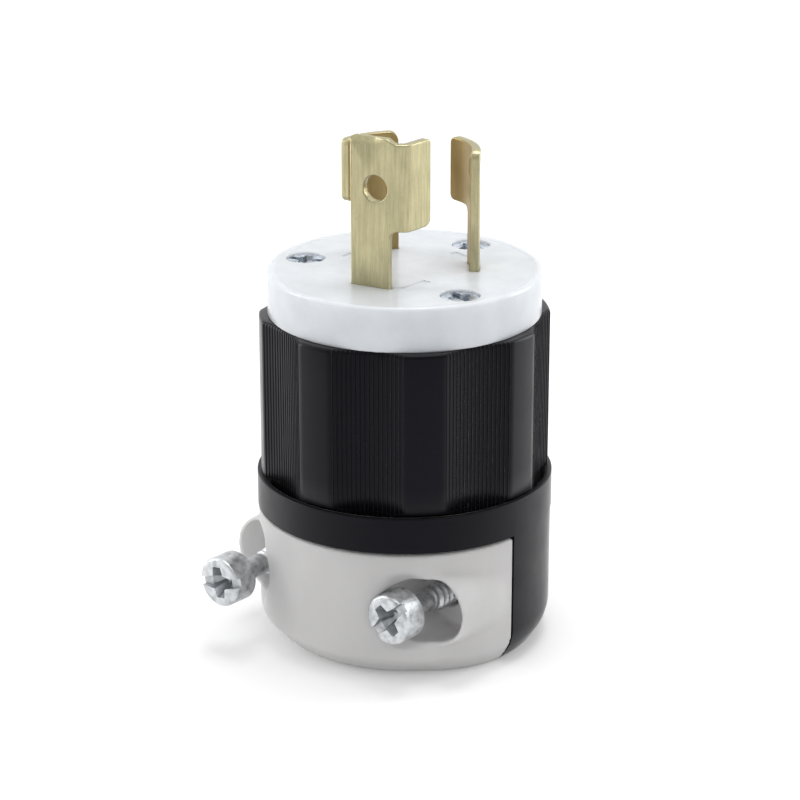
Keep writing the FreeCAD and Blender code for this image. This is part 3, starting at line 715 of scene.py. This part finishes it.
def build_clamp_jaw(sizes, material):
    """Loose half of the cord clamp, with a lug and a recess at each screw."""
    top = span("clamp_jaw")[1][2]
    clamp, cord, chamber = mm(sizes.clamp_radius), mm(sizes.cord_radius), mm(sizes.chamber_radius)
    offset, height = mm(sizes.screw_offset), mm(sizes.screw_height)
    lug_radius, lug_shift, lug_face = 4.5, 2.3, 10.9
    levels = np.concatenate([[0.0, 0.02, 0.06, 0.15], np.linspace(0.3, top, 72)])
    turns = np.radians(np.concatenate([np.linspace(-180, 0, 361), np.linspace(10, 170, 17)]))
    profiles = clamp_profile(clamp, JAW_FOOT, top), clamp_profile(clamp, COVER_FOOT, top)
    narrow, wide = [np.interp(levels, *zip(*[(z, radius) for radius, z in profile])) for profile in profiles]
    # The foot widens towards the split, where the jaw meets the cover
    flank = np.clip((np.abs(np.cos(turns)) - 0.75) / 0.25, 0.0, 1.0)
    rings = []
    for level, low, high in zip(levels, narrow, wide):
        radii = low + (high - low) * flank
        inside = lug_radius ** 2 - (level - height) ** 2
        if inside > 0:
            side = offset + lug_shift + math.sqrt(inside)
            lug = np.minimum(side / np.maximum(np.abs(np.cos(turns)), 0.01),
                             lug_face / np.maximum(-np.sin(turns), 0.01))
            raised = soft_larger(radii, np.where(np.sin(turns) > 0.01, 0.0, lug), 1.3)
            fade = np.clip((-raised * np.sin(turns) - 1.0) / 3.5, 0.0, 1.0)
            radii = radii + (raised - radii) * soft_step(fade)
        radii -= scoop_depth(radii * np.abs(np.cos(turns)), level - height, offset)
        rings.append([(r * math.cos(t), r * math.sin(t), level) for r, t in zip(radii, turns)])
    jaw = rings_piece("clamp_jaw_fine", rings, closed=False)
    split, far = -1.1, 40
    cut(jaw, prism("rear", [(-far, split), (far, split), (far, far), (-far, far)], -5, far))
    passage = [(0.0, -1.0), (cord, -1.0)] + ridge(cord)
    passage += [(cord, CHAMBER_LOW), (chamber, CHAMBER_LOW), (chamber, top + 1), (0.0, top + 1)]
    cut(jaw, lathe("passage", passage, 128, closed=False))
    recess_floor, hole_radius = -5.5, 1.95
    for side in (-1, 1):
        circles = ((offset, 3.3), (offset + 1.1, 4.1), (offset + lug_shift, 4.05))
        spots = [p for x, radius in circles for p in round_outline(side * x, height, radius)]
        outline = [spots[i] for i in geometry.convex_hull_2d(spots)]
        cut(jaw, prism("recess", outline, -30, recess_floor, "Y"))
        cut(jaw, prism("hole", round_outline(side * offset, height, hole_radius), -20, 5, "Y"))
    remesh(jaw, 0.22)
    shade(jaw, 60.0, weighted=False)
    place(jaw, "jaw", "jaw_nylon", material, "clamp_jaw")


def cross_cutter(radius, depth, slot):
    """Tapered cross recess that opens at z = 0, with a shallower slot across."""
    arm, half = radius * 0.62, radius * 0.19
    heart = half * 1.4
    outline = [(arm, -half), (arm, half), (heart, heart), (half, arm), (-half, arm), (-heart, heart),
               (-arm, half), (-arm, -half), (-heart, -heart), (-half, -arm), (half, -arm), (heart, -heart)]
    levels = ((0.4, 1.08), (-0.12, 1.0), (-depth * 0.6, 0.72), (-depth, 0.34))
    rings = [[(x * scale, y * scale, z) for x, y in outline] for z, scale in levels]
    cutter = rings_piece("cross", rings, closed=False)
    far = radius * 1.5
    groove = prism("slot", [(-far, -half), (far, -half), (far, half), (-far, half)], -slot, 0.5)
    combine(cutter, groove, "UNION")
    return cutter


def thread_rings(core, crest, start, end, pitch, segments, steps=14):
    """Rings of a threaded rod that points down from z = start to z = end."""
    rings = []
    count = int((start - end) / pitch * steps)
    for level in range(count + 1):
        z = start + (end - start) * level / count
        fade = max(0.0, min(1.0, (start - z) / pitch, (z - end) / pitch * 1.5))
        ring = []
        for i in range(segments):
            share = i / segments
            phase = (z / pitch + share) % 1.0
            height = max(0.0, 1 - abs(phase - 0.5) / 0.27) ** 0.8
            radius = core + (crest - core) * height * fade
            ring.append((radius * math.cos(2 * math.pi * share), radius * math.sin(2 * math.pi * share), z))
        rings.append(ring)
    return rings


def build_clamp_screw(sizes, material, name, side, twist):
    """Backed-out clamp screw: round head with slot and cross, smooth neck, rolled thread."""
    front = span(name)[0][1]
    radius, head_back, edge = 3.1, -3.5, 0.42
    profile = [(0.0, head_back), (2.85, head_back), (3.0, head_back + 0.08), (radius, head_back + 0.25)]
    profile += [(radius, -edge)] + corner((radius - edge, -edge), edge, 0, 80, 5) + [(2.2, 0.0), (0.0, 0.0)]
    screw = lathe(name + "_fine", profile, 96, closed=False)
    cut(screw, cross_cutter(radius, 1.9, 0.75))
    shade(screw)
    shank_length, neck, core, crest = 18.5, 1.33, 1.22, 1.65
    end = head_back - shank_length
    segments, point = 40, 0.9
    rings = [circle(neck, z, segments) for z in (-3.2, -4.5, -6.0, -7.0, -7.4)]
    rings += thread_rings(core, crest, -7.5, end + 0.2, mm(sizes.thread_pitch), segments)
    rings.append(circle(point, end, segments))
    shank = rings_piece("shank", rings, closed=False)
    shade(shank, 40.0, weighted=False)
    join(screw, shank)
    rotate(screw, twist, "Z")
    rotate(screw, 90, "X")
    move(screw, side * mm(sizes.screw_offset), front, mm(sizes.screw_height))
    place(screw, "plug", "zinc_steel", material, name)


def build_assembly_screw(material, name, angle):
    """Long screw from the face into a boss, its cross turned with its place."""
    (_, _, bottom), (_, _, top) = span(name)
    end, head_radius, head_back, shank = bottom - top, 2.35, -1.9, 1.45
    profile = [(0.0, end), (shank - 0.1, end), (shank, end + 0.1), (shank, head_back)]
    profile += [(head_radius, head_back), (head_radius, -0.22), (2.28, -0.06), (2.1, 0.0), (0.0, 0.0)]
    screw = lathe(name + "_fine", profile, 64, closed=False)
    cut(screw, cross_cutter(head_radius, 1.4, 0.5))
    shade(screw)
    rotate(screw, angle, "Z")
    move(screw, *polar(angle, ASSEMBLY_CIRCLE), top)
    place(screw, "plug", "zinc_steel", material, name)


def flat_blade(name, outline, holes, thickness, edge):
    """Flat blade with rounded edges: x along the bend, y up, z through the sheet."""
    curve = bpy.data.curves.new(name, "CURVE")
    curve.dimensions = "2D"
    curve.fill_mode = "BOTH"
    curve.extrude = (thickness / 2 - edge) * METRE
    curve.bevel_depth = edge * METRE
    curve.bevel_resolution = 2
    curve.offset = -edge * METRE
    for points in [outline] + [round_outline(x, y, r, 40) for x, y, r in holes]:
        spline = curve.splines.new("POLY")
        spline.points.add(len(points) - 1)
        for point, (x, y) in zip(spline.points, points):
            point.co = (x * METRE, y * METRE, 0, 1)
        spline.use_cyclic_u = True
    shape = new_object(name, curve)
    graph = bpy.context.evaluated_depsgraph_get()
    mesh = bpy.data.meshes.new_from_object(shape.evaluated_get(graph))
    bpy.data.objects.remove(shape)
    return new_object(name, mesh)


def rounded(points, steps=6):
    """An outline whose corners (x, y, radius) are rounded."""
    outline = []
    count = len(points)
    for i, (x, y, radius) in enumerate(points):
        here = Vector((x, y))
        if radius <= 0:
            outline.append((x, y))
            continue
        before = (Vector(points[i - 1][:2]) - here).normalized()
        after = (Vector(points[(i + 1) % count][:2]) - here).normalized()
        half = before.angle(after) / 2
        reach = radius / math.tan(half)
        centre = here + (before + after).normalized() * (radius / math.sin(half))
        start = here + before * reach - centre
        end = here + after * reach - centre
        sweep = start.angle_signed(end)
        for k in range(steps + 1):
            turned = start.copy()
            turned.rotate(Matrix.Rotation(-sweep * k / steps, 2))
            outline.append(tuple(centre + turned))
    return outline


class BladeLine:
    """Outer line of a blade seen from above, as headings along its length."""

    def __init__(self, begin, knots, marks):
        stride, spare = 0.02, 2.0
        self.marks = marks
        self.along = np.arange(knots[0][0] - spare, knots[-1][0] + spare, stride)
        self.heading = np.radians(np.interp(self.along, [k[0] for k in knots], [k[1] for k in knots]))
        steps = np.stack([np.cos(self.heading), np.sin(self.heading)], axis=1) * stride
        line = np.cumsum(steps, axis=0)
        at_begin = [np.interp(knots[0][0], self.along, line[:, i]) for i in range(2)]
        self.line = line - at_begin + np.array(begin)

    def points(self, along, depth):
        """Points of the sheet: along the line, and outwards from it by depth."""
        heading = np.interp(along, self.along, self.heading)
        x = np.interp(along, self.along, self.line[:, 0]) + depth * np.sin(heading)
        y = np.interp(along, self.along, self.line[:, 1]) - depth * np.cos(heading)
        return np.stack([x, y], axis=1)


def blade_line(sizes, name):
    """Line on the blade circle. The ground blade's leg is flat and its tab is folded inwards."""
    start, end, hook_end = BLADES[name]
    outer = mm(sizes.blade_radius)
    degree = math.pi * outer / 180
    first, last, fold = start * degree, end * degree, hook_end * degree
    begin = polar(start, outer)
    if name != "ground_blade":
        return BladeLine(begin, [(first, start + 90), (fold, hook_end + 90)], (first, last, fold))
    leg, tab = (start + end) / 2 + 90, hook_end + 90 + 48
    ease, crease, tip = 0.8, 0.5, fold + 4.1
    knots = [(first, leg), (last - ease, leg), (last + ease, end + ease / degree + 90),
             (fold - crease, hook_end - crease / degree + 90), (fold + crease, tab), (tip, tab)]
    return BladeLine(begin, knots, (first, last, tip))


def build_blade(sizes, material, name):
    """Blade with its leg, hook and holes, cut flat and then bent along its line."""
    (_, _, tail), (_, _, top) = span(name)
    line = blade_line(sizes, name)
    start, end, reach = line.marks
    thickness = mm(sizes.blade_thickness)
    hook_low, hole_height, wire_height, hole_radius = 53.8, 58.84, 32.5, 1.6
    hook = [(reach, hook_low, 0.8), (reach, top, 0.8)]
    tip, hole = 1.2, (start + end) / 2
    if name == "ground_blade":
        step = top - 0.6
        hook = [(reach, hook_low, 1.0), (reach, step, 0.5), (end + 0.8, step, 0.5), (end - 0.3, top, 0.5)]
        tip, hole = 0.45, hole + 0.7
    outline = rounded([(start, tail, 0.3), (end, tail, 0.3), (end, hook_low, 0.9), *hook, (start, top, tip)])
    holes = [(hole, hole_height, hole_radius), (hole, wire_height, hole_radius)]
    edge, slice_width, bevel_height = 0.17, 0.3, 0.9
    blade = flat_blade(name + "_fine", outline, holes, thickness, edge)
    slice_along(blade, start, reach, slice_width, (top - bevel_height, top - bevel_height / 2))
    co = np.empty(len(blade.data.vertices) * 3)
    blade.data.vertices.foreach_get("co", co)
    along, height, depth = co[0::3] * 1000, co[1::3] * 1000, co[2::3] * 1000 - thickness / 2
    if name == "ground_blade":
        # The outer face leans back at the top of the leg, so that it leads into the outlet
        above = np.maximum(0.0, height - (top - bevel_height))
        depth = np.minimum(depth, -above * 0.55 * np.clip((end - 0.6 - along) / 1.5, 0.0, 1.0))
    x, y = line.points(along, depth).T
    blade.data.vertices.foreach_set("co", (np.stack([x, y, height], axis=1) * METRE).ravel())
    blade.data.update()
    tidy(blade, 0.001)
    shade(blade, 35.0, weighted=False)
    place(blade, "plug", "blade_brass", material, name)


def slice_along(piece, start, end, step, levels):
    """Cut lines across the sheet, so that it can bend, and along it at the given heights."""
    work = bmesh.new()
    work.from_mesh(piece.data)
    count = int((end - start) / step)
    planes = [(((start + (end - start) * i / count) * METRE, 0, 0), (1, 0, 0)) for i in range(1, count)]
    planes += [((0, level * METRE, 0), (0, 1, 0)) for level in levels]
    for place_at, normal in planes:
        bmesh.ops.bisect_plane(work, geom=work.verts[:] + work.edges[:] + work.faces[:],
                               plane_co=place_at, plane_no=normal, dist=1e-7)
    work.to_mesh(piece.data)
    work.free()


def dress(name, material):
    """A new finish on a node that stays as the model has it."""
    coat(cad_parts[name], material)


# Studio

def build_studio(settings):
    """Floor, room, soft boxes and camera. Their places are in metres."""
    heading = math.radians(40)
    outward = Vector((math.sin(heading), -math.cos(heading), 0))
    right = Vector((math.cos(heading), math.sin(heading), 0))

    def spot(across, towards, height):
        return right * across + outward * towards + Vector((0, 0, height))

    far = 1500
    floor = mesh_piece("studio_floor", [(-far, -far, 0), (far, -far, 0), (far, far, 0), (-far, far, 0)],
                       [(0, 1, 2, 3)])
    coat(floor, floor_material(settings))

    light_world(settings, outward)
    soft_box("key_box", spot(0.08, -0.10, 0.80), 0.36, 0.36, settings.key)
    soft_box("left_strip", spot(-0.55, -0.12, 0.16), 0.16, 0.50, settings.side)
    soft_box("right_strip", spot(0.55, -0.20, 0.16), 0.16, 0.50, settings.side)

    lens = bpy.data.cameras.new("view")
    lens.sensor_width = 36.0
    lens.lens = 123.07
    lens.shift_x = -0.0058
    lens.clip_start, lens.clip_end = 0.01, 10.0
    camera = new_object("view", lens)
    aim_at(camera, spot(0.0, 0.31535, 0.14361), Vector((0, 0, 0.02987)))
    bpy.context.scene.camera = camera
    bpy.context.scene.view_settings.view_transform = "Standard"


def aim_at(item, position, target):
    """Put a lamp or the camera at a place, looking at a point."""
    turned = (target - position).to_track_quat("-Z", "Y").to_matrix().to_4x4()
    item.matrix_world = Matrix.Translation(position) @ turned


def soft_box(name, position, width, height, tens_of_watts):
    """A lamp that looks at the middle of the plug."""
    lamp = bpy.data.lights.new(name, "AREA")
    lamp.shape = "RECTANGLE"
    lamp.size, lamp.size_y = width, height
    lamp.energy = tens_of_watts * 10
    aim_at(new_object(name, lamp), position, Vector((0, 0, 0.03)))


def floor_material(settings):
    """Pale floor that reads as white and keeps the plug's soft shadow."""
    material, tree, shader = new_material("studio_floor")
    set_sockets(shader, Base_Color=(*settings.floor, 1.0), Roughness=0.9, Specular_IOR_Level=0.1)
    set_sockets(shader, Emission_Color=(1, 1, 1, 1))
    tree.links.new(math_node(tree, "MULTIPLY", seen_rays(tree), settings.floor_lift),
                   shader.inputs["Emission Strength"])
    return material


def seen_rays(tree):
    """One for the rays of the camera, of reflections and of clear pieces."""
    rays = tree.nodes.new("ShaderNodeLightPath").outputs
    direct = math_node(tree, "MAXIMUM", rays["Is Camera Ray"], rays["Is Glossy Ray"])
    return math_node(tree, "MAXIMUM", direct, rays["Is Transmission Ray"])


def light_world(settings, outward):
    """White room for what is seen. It lights more from the camera's side, and is mirrored darker there."""
    world = bpy.data.worlds.new("studio")
    bpy.context.scene.world = world
    world.use_nodes = True
    tree = world.node_tree
    background = tree.nodes["Background"]
    facing = vector_node(tree, "DOT_PRODUCT", own_place(tree, "Generated"), outward)
    levels = []
    for back, front in ((settings.room, settings.room * settings.front), (1.0, settings.mirrored)):
        made = node(tree, "ShaderNodeMapRange", From_Min=-0.1, From_Max=0.85, To_Min=back, To_Max=front)
        made.interpolation_type = "SMOOTHSTEP"
        tree.links.new(facing, made.inputs["Value"])
        levels.append(made.outputs["Result"])
    tree.links.new(mixed(tree, seen_rays(tree), *levels, kind="FLOAT"), background.inputs["Strength"])
    background.inputs["Color"].default_value = (1, 1, 1, 1)


# Operators

class PieceOperator:
    bl_options = {"REGISTER", "UNDO"}

    def execute(self, context):
        self.build(context.scene.plug_sizes, context.scene.plug_colours)
        return {"FINISHED"}


class PLUG_OT_face_plate(PieceOperator, bpy.types.Operator):
    """Build the face plate with its border, slots and screw recesses"""
    bl_idname = "plug.face_plate"
    bl_label = "Face plate"

    def build(self, sizes, colours):
        build_face_plate(sizes, translucent_nylon("white_nylon", tuple(colours.face)))


class PLUG_OT_grip_shell(PieceOperator, bpy.types.Operator):
    """Build the grip shell with its ribbed and smooth facets"""
    bl_idname = "plug.grip_shell"
    bl_label = "Grip shell"

    def build(self, sizes, colours):
        build_grip_shell(sizes, black_nylon("shell_nylon", tuple(colours.shell), 0.26))


class PLUG_OT_rear_cover(PieceOperator, bpy.types.Operator):
    """Build the rear cover with its cup, bosses and fixed clamp half"""
    bl_idname = "plug.rear_cover"
    bl_label = "Rear cover"

    def build(self, sizes, colours):
        build_rear_cover(sizes, black_nylon("cover_nylon", tuple(colours.shell), 0.36))


class PLUG_OT_clamp_jaw(PieceOperator, bpy.types.Operator):
    """Build the clamp jaw with its screw lugs"""
    bl_idname = "plug.clamp_jaw"
    bl_label = "Clamp jaw"

    def build(self, sizes, colours):
        build_clamp_jaw(sizes, natural_nylon("jaw_nylon", tuple(colours.jaw)))


class PLUG_OT_clamp_screws(PieceOperator, bpy.types.Operator):
    """Build the two clamp screws with their heads and threads"""
    bl_idname = "plug.clamp_screws"
    bl_label = "Clamp screws"

    def build(self, sizes, colours):
        zinc = plated("zinc_plate", tuple(colours.zinc), 0.26, 0.06, 0.62)
        build_clamp_screw(sizes, zinc, "clamp_screw_left", -1, 10)
        build_clamp_screw(sizes, zinc, "clamp_screw_right", 1, 45)


class PLUG_OT_assembly_screws(PieceOperator, bpy.types.Operator):
    """Build the three screws that hold the face plate"""
    bl_idname = "plug.assembly_screws"
    bl_label = "Assembly screws"

    def build(self, sizes, colours):
        zinc = plated("blue_zinc_plate", tuple(colours.blue_zinc), 0.16, 0.06, 0.5)
        for number, angle in enumerate(ASSEMBLY_ANGLES, 1):
            build_assembly_screw(zinc, f"assembly_screw_{number}", angle)


class PLUG_OT_blades(PieceOperator, bpy.types.Operator):
    """Build the three hooked blades"""
    bl_idname = "plug.blades"
    bl_label = "Blades"

    def build(self, sizes, colours):
        brass = rolled_brass("rolled_brass", tuple(colours.brass))
        for name in BLADES:
            build_blade(sizes, brass, name)


class PLUG_OT_terminals(PieceOperator, bpy.types.Operator):
    """Finish the terminal block, the wire clamps and the terminal screws"""
    bl_idname = "plug.terminals"
    bl_label = "Terminals"

    def build(self, sizes, colours):
        dress("terminal_block", natural_nylon("block_nylon", tuple(colours.jaw)))
        clamp = plated("clamp_plate", tuple(colours.clamp_steel), 0.34, 0.02)
        finishes = {
            "line": plated("turned_brass", tuple(colours.screw_brass), 0.24, 0.01),
            "neutral": plated("nickel_plate", tuple(colours.screw_silver), 0.16, 0.01),
            "ground": plated("green_plate", tuple(colours.screw_green), 0.30, 0.01),
        }
        for name, screw in finishes.items():
            dress(f"{name}_wire_clamp", clamp)
            dress(f"{name}_terminal_screw", screw)


class PLUG_OT_studio(bpy.types.Operator):
    """Set up the floor, the room, the soft boxes and the camera"""
    bl_idname = "plug.studio"
    bl_label = "Studio"
    bl_options = {"REGISTER", "UNDO"}

    def execute(self, context):
        build_studio(context.scene.plug_studio)
        return {"FINISHED"}


OPERATORS = (
    PLUG_OT_face_plate, PLUG_OT_grip_shell, PLUG_OT_rear_cover, PLUG_OT_clamp_jaw, PLUG_OT_clamp_screws,
    PLUG_OT_assembly_screws, PLUG_OT_blades, PLUG_OT_terminals, PLUG_OT_studio,
)


class PLUG_PT_panel(bpy.types.Panel):
    bl_idname = "PLUG_PT_panel"
    bl_label = "Locking plug"
    bl_space_type = "VIEW_3D"
    bl_region_type = "UI"
    bl_category = "Locking plug"

    def draw(self, context):
        for operator in OPERATORS:
            self.layout.operator(operator.bl_idname)
        for group in (context.scene.plug_sizes, context.scene.plug_colours, context.scene.plug_studio):
            box = self.layout.box()
            for name in group.__annotations__:
                box.prop(group, name)


CLASSES = (PlugSizes, PlugColours, PlugStudio) + OPERATORS + (PLUG_PT_panel,)


def register():
    for item in CLASSES:
        bpy.utils.register_class(item)
    bpy.types.Scene.plug_sizes = PointerProperty(type=PlugSizes)
    bpy.types.Scene.plug_colours = PointerProperty(type=PlugColours)
    bpy.types.Scene.plug_studio = PointerProperty(type=PlugStudio)


def unregister():
    del bpy.types.Scene.plug_studio
    del bpy.types.Scene.plug_colours
    del bpy.types.Scene.plug_sizes
    for item in reversed(CLASSES):
        bpy.utils.unregister_class(item)


def main():
    register()
    for operator in OPERATORS:
        group, name = operator.bl_idname.split(".")
        getattr(getattr(bpy.ops, group), name)()


if __name__ == "__main__":
    main()
